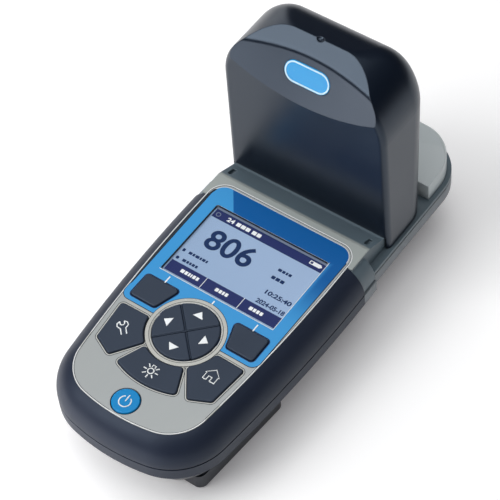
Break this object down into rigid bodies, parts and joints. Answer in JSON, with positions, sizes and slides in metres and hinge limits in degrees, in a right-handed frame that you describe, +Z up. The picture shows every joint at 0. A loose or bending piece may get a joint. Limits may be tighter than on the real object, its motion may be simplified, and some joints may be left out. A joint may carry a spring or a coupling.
{
  "type": "portable colorimeter",
  "caption": "Handheld battery colorimeter: waisted body with keypad and display, a round sample-cell socket in the rear deck and a tall lift-off light-shield hood.",
  "frame": {"origin": "on the table, under the middle of the body's length and width", "axes": "+X to the user's right, +Y from the nose with the power key to the tail, +Z up"},
  "size_m": [0.0974, 0.223, 0.1365],
  "materials": {
    "housing_grey": "satin",
    "hull_grey": "fine texture",
    "overmould_rubber": "satin soft touch",
    "hood_plastic": "satin",
    "plate_grey": "satin",
    "key_plastic": "satin",
    "power_blue": "satin",
    "window_clear": "clear",
    "display_glass": "gloss",
    "silicone": "matt",
    "seal_rubber": "matt",
    "board": "gloss",
    "optics_black": "matt",
    "diode_clear": "gloss",
    "steel": "satin",
    "cell_jacket": "gloss",
    "badge_blue": "gloss"
  },
  "bodies": {
    "instrument": {"lower_housing": "hull_grey", "upper_housing": "housing_grey", "housing_gasket": "seal_rubber", "grip_overmould": "overmould_rubber", "lower_grip": "overmould_rubber", "face_plate": "plate_grey", "display_window": "window_clear", "display_module": "display_glass", "keypad_mat": "silicone", "key_domes": "steel", "main_board": "board", "cell_holder": "optics_black", "light_source": "diode_clear", "light_detector": "steel", "source_board": "board", "detector_board": "board", "battery_cells": "cell_jacket", "contact_plates": "steel", "contact_springs": "steel", "battery_door": "hull_grey", "battery_door_seal": "seal_rubber", "battery_door_screws": "steel", "housing_screws": "steel", "feet": "seal_rubber", "module_cover": "housing_grey", "module_board": "board", "usb_socket": "steel"},
    "hood": {"hood_shell": "hood_plastic", "hood_badge": "badge_blue"},
    "port_plug": {"usb_cap": "seal_rubber"},
    "soft_right_button": {"soft_key_right": "key_plastic"},
    "soft_left_button": {"soft_key_left": "key_plastic"},
    "home_button": {"home_key": "key_plastic"},
    "settings_button": {"settings_key": "key_plastic"},
    "backlight_button": {"backlight_key": "key_plastic"},
    "power_button": {"power_key": "power_blue"},
    "arrow_up_button": {"arrow_key_up": "key_plastic"},
    "arrow_left_button": {"arrow_key_left": "key_plastic"},
    "arrow_down_button": {"arrow_key_down": "key_plastic"},
    "arrow_right_button": {"arrow_key_right": "key_plastic"}
  },
  "joints": [
    {"name": "hood_lift", "type": "slide", "parent": "instrument", "child": "hood", "axis": [0, 0, 1], "range_m": [0, 0.11]},
    {"name": "port_plug_pull", "type": "slide", "parent": "instrument", "child": "port_plug", "axis": [0, 1, 0], "range_m": [0, 0.01]},
    {"name": "soft_key_right_press", "type": "slide", "parent": "instrument", "child": "soft_right_button", "axis": [0, 0, -1], "range_m": [0, 0.0009], "stiffness_N_per_m": 2000},
    {"name": "soft_key_left_press", "type": "slide", "parent": "instrument", "child": "soft_left_button", "axis": [0, 0, -1], "range_m": [0, 0.0009], "stiffness_N_per_m": 2000},
    {"name": "home_key_press", "type": "slide", "parent": "instrument", "child": "home_button", "axis": [0, 0, -1], "range_m": [0, 0.0009], "stiffness_N_per_m": 2000},
    {"name": "settings_key_press", "type": "slide", "parent": "instrument", "child": "settings_button", "axis": [0, 0, -1], "range_m": [0, 0.0009], "stiffness_N_per_m": 2000},
    {"name": "backlight_key_press", "type": "slide", "parent": "instrument", "child": "backlight_button", "axis": [0, 0, -1], "range_m": [0, 0.0009], "stiffness_N_per_m": 2000},
    {"name": "power_key_press", "type": "slide", "parent": "instrument", "child": "power_button", "axis": [0, 0, -1], "range_m": [0, 0.0009], "stiffness_N_per_m": 2000},
    {"name": "arrow_key_up_press", "type": "slide", "parent": "instrument", "child": "arrow_up_button", "axis": [0, 0, -1], "range_m": [0, 0.0009], "stiffness_N_per_m": 2000},
    {"name": "arrow_key_left_press", "type": "slide", "parent": "instrument", "child": "arrow_left_button", "axis": [0, 0, -1], "range_m": [0, 0.0009], "stiffness_N_per_m": 2000},
    {"name": "arrow_key_down_press", "type": "slide", "parent": "instrument", "child": "arrow_down_button", "axis": [0, 0, -1], "range_m": [0, 0.0009], "stiffness_N_per_m": 2000},
    {"name": "arrow_key_right_press", "type": "slide", "parent": "instrument", "child": "arrow_right_button", "axis": [0, 0, -1], "range_m": [0, 0.0009], "stiffness_N_per_m": 2000}
  ]
}
